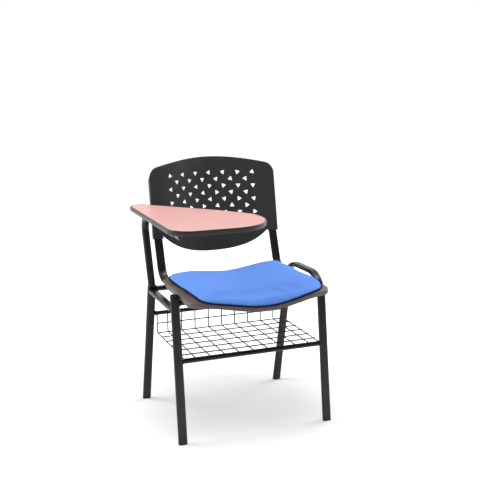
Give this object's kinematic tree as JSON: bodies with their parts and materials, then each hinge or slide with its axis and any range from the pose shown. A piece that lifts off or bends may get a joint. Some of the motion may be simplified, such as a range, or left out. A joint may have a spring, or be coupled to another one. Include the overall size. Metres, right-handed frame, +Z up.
{
  "type": "tablet arm chair",
  "caption": "Student chair with a tube frame, moulded seat and backrest, padded seat, wire book basket and a writing tablet that folds up round its arm.",
  "frame": {"origin": "on the floor, under the middle of the bounding box at rest", "axes": "+X to the right as seen from the front, +Y to the back, +Z up"},
  "size_m": [0.583, 0.5764, 0.861],
  "materials": {
    "black_enamel": "satin black enamel",
    "black_plastic": "fine grained, dark grey to black",
    "blue_fabric": "woven, bright blue",
    "plywood": "raw board",
    "pink_laminate": "satin pink laminate",
    "zinc_steel": "zinc plated"
  },
  "bodies": {
    "frame": {"arm_end_plug": "black_plastic", "backrest_shell": "black_plastic", "basket_front_bar": "black_enamel", "basket_rear_bar": "black_enamel", "book_basket": "black_enamel", "cushion_board": "plywood", "front_cross_rail": "black_enamel", "left_back_upright": "black_enamel", "left_backrest_screw": "zinc_steel", "left_front_cushion_screw": "zinc_steel", "left_front_foot": "black_plastic", "left_front_leg": "black_enamel", "left_front_leg_cap": "black_plastic", "left_front_seat_screw": "zinc_steel", "left_rear_cushion_screw": "zinc_steel", "left_rear_foot": "black_plastic", "left_rear_leg": "black_enamel", "left_rear_seat_screw": "zinc_steel", "left_seat_strut": "black_enamel", "left_side_rail": "black_enamel", "left_upright_plug": "black_plastic", "rear_cross_rail": "black_enamel", "right_back_upright": "black_enamel", "right_backrest_screw": "zinc_steel", "right_front_cushion_screw": "zinc_steel", "right_front_foot": "black_plastic", "right_front_seat_screw": "zinc_steel", "right_leg_hoop": "black_enamel", "right_rear_cushion_screw": "zinc_steel", "right_rear_foot": "black_plastic", "right_rear_seat_screw": "zinc_steel", "right_seat_strut": "black_enamel", "right_upright_plug": "black_plastic", "seat_cushion": "blue_fabric", "seat_shell": "black_plastic", "tablet_arm": "black_enamel", "tablet_rest": "black_enamel"},
    "tablet": {"front_inner_sleeve_screw": "zinc_steel", "front_outer_sleeve_screw": "zinc_steel", "front_pivot_sleeve": "black_enamel", "rear_inner_sleeve_screw": "zinc_steel", "rear_outer_sleeve_screw": "zinc_steel", "rear_pivot_sleeve": "black_enamel", "tablet_board": "plywood", "tablet_edge_band": "black_plastic", "tablet_laminate": "pink_laminate"}
  },
  "joints": [
    {"name": "tablet_fold", "type": "hinge", "parent": "frame", "child": "tablet", "pos_m": [-0.2405, -0.0212, 0.682], "axis": [0, -1, 0], "range_deg": [0, 93]}
  ]
}
